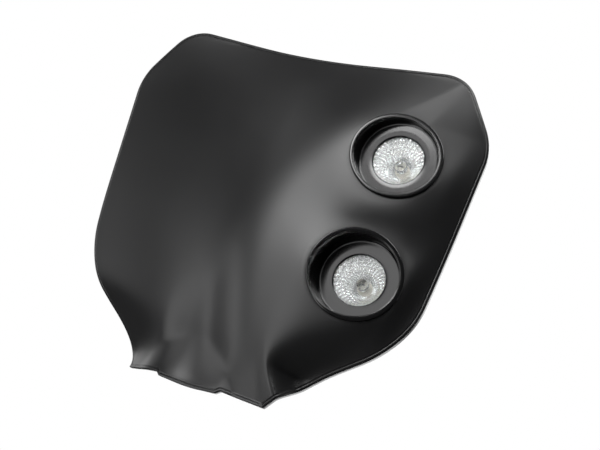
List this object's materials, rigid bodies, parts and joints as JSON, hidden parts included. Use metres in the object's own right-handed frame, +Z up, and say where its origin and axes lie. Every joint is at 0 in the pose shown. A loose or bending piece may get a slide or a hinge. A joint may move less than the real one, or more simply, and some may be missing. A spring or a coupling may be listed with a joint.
{
  "type": "twin-lamp headlight mask",
  "caption": "Moulded black mask for an enduro motorcycle with stacked round reflector lamps in gloss bezels on one side and a folded rear bracket on rubber bushes.",
  "frame": {"origin": "midway between the two bolt sleeves of the rear bracket, on their rear ends", "axes": "+Y backwards along the bolts, away from the mask, -Y the way the lamps shine, +Z up, +X towards the lamps' side"},
  "size_m": [0.342, 0.1099, 0.3241],
  "materials": {
    "mask_plastic": "satin black moulded plastic",
    "bezel_plastic": "gloss black moulded plastic",
    "housing_plastic": "fine grain black moulded plastic",
    "lamp_glass": "clear polished",
    "reflector": "mirror-coated faceted glass",
    "capsule_glass": "clear quartz",
    "ceramic": "white, unglazed",
    "pin_metal": "plain",
    "seal_rubber": "matt black",
    "bush_rubber": "matt black",
    "spring_steel": "satin",
    "bracket_steel": "satin black powder coat",
    "zinc_steel": "zinc plated"
  },
  "bodies": {
    "root": {"mask_shell": "mask_plastic", "upper_bezel": "bezel_plastic", "upper_cover_glass": "lamp_glass", "upper_reflector": "reflector", "upper_capsule": "capsule_glass", "upper_seal": "seal_rubber", "upper_lamp_base": "ceramic", "upper_contact_pins": "pin_metal", "upper_socket": "ceramic", "upper_spring_ring": "spring_steel", "upper_housing": "housing_plastic", "upper_grommet": "seal_rubber", "lower_bezel": "bezel_plastic", "lower_cover_glass": "lamp_glass", "lower_reflector": "reflector", "lower_capsule": "capsule_glass", "lower_seal": "seal_rubber", "lower_lamp_base": "ceramic", "lower_contact_pins": "pin_metal", "lower_socket": "ceramic", "lower_spring_ring": "spring_steel", "lower_housing": "housing_plastic", "lower_grommet": "seal_rubber", "housing_screws": "zinc_steel", "rear_bracket": "bracket_steel", "bracket_screws": "zinc_steel", "bracket_washers": "zinc_steel", "upper_bush": "bush_rubber", "upper_sleeve": "zinc_steel", "lower_bush": "bush_rubber", "lower_sleeve": "zinc_steel"}
  },
  "joints": []
}
